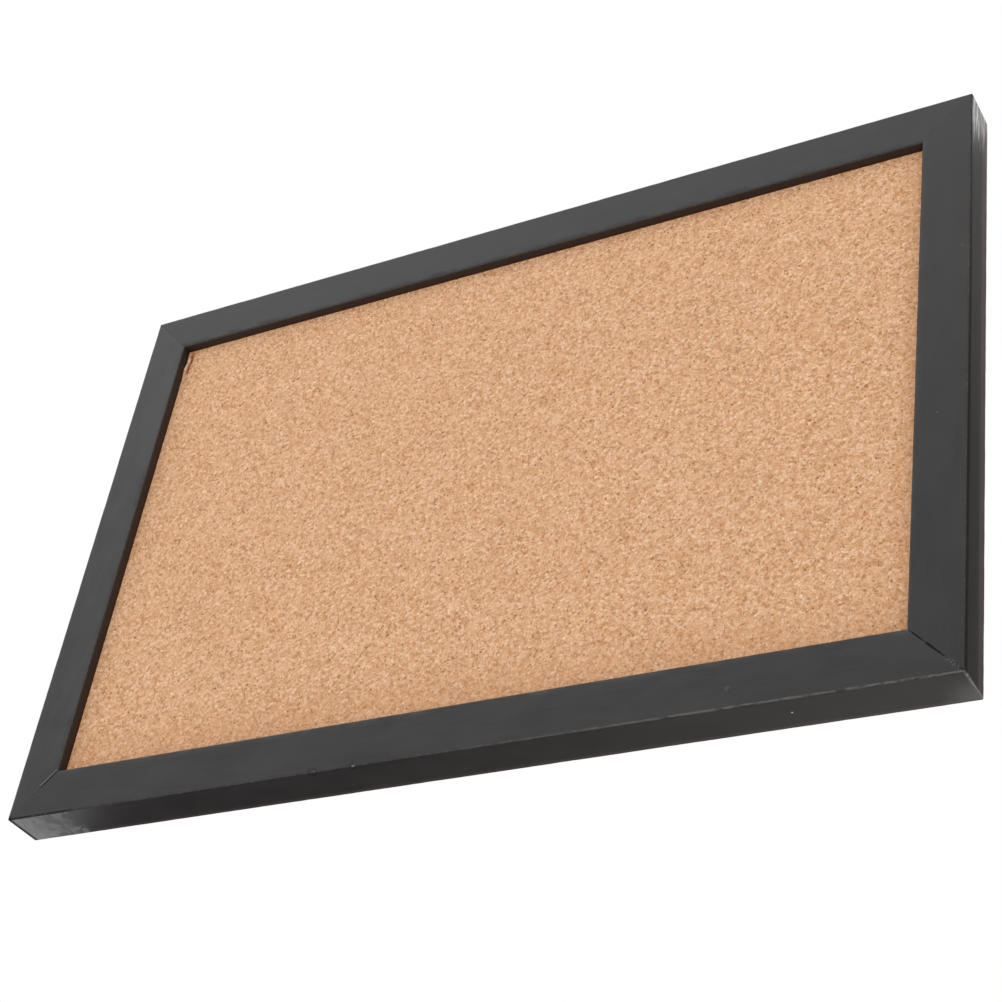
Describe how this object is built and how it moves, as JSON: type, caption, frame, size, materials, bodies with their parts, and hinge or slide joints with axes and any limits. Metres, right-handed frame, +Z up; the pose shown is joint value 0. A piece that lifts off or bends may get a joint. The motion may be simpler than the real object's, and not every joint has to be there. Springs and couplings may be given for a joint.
{
  "type": "cork bulletin board",
  "caption": "Framed cork pin board: mitred black wood moulding round a recessed granulated cork sheet, hung from wire D-rings on the back.",
  "frame": {"origin": "centre of the board's width and height, on the plane of the frame's back (the wall side)", "axes": "+X to the right seen from the front, +Y from the front towards the wall, +Z up"},
  "size_m": [0.45, 0.0265, 0.3],
  "materials": {
    "frame_paint": "satin",
    "cork": "matte",
    "fibreboard": "matte",
    "hardboard": "satin",
    "nail_steel": "satin",
    "point_steel": "satin",
    "zinc_plate": "satin"
  },
  "bodies": {
    "board": {"top_rail": "frame_paint", "bottom_rail": "frame_paint", "left_stile": "frame_paint", "right_stile": "frame_paint", "cork_sheet": "cork", "fibreboard_core": "fibreboard", "hardboard_backing": "hardboard", "v_nails_top_left": "nail_steel", "v_nails_top_right": "nail_steel", "v_nails_bottom_left": "nail_steel", "v_nails_bottom_right": "nail_steel", "backing_points_top": "point_steel", "backing_points_bottom": "point_steel", "backing_points_left": "point_steel", "backing_points_right": "point_steel", "hanger_strap_left": "zinc_plate", "hanger_screw_left": "zinc_plate", "hanger_strap_right": "zinc_plate", "hanger_screw_right": "zinc_plate"},
    "ring_left": {"d_ring_left": "zinc_plate"},
    "ring_right": {"d_ring_right": "zinc_plate"}
  },
  "joints": [
    {"name": "ring_turn_left", "type": "hinge", "parent": "board", "child": "ring_left", "pos_m": [-0.2164, 0.00195, 0.088], "axis": [1, 0, 0], "range_deg": [0, 168]},
    {"name": "ring_turn_right", "type": "hinge", "parent": "board", "child": "ring_right", "pos_m": [0.2164, 0.00195, 0.088], "axis": [1, 0, 0], "range_deg": [0, 168]}
  ]
}
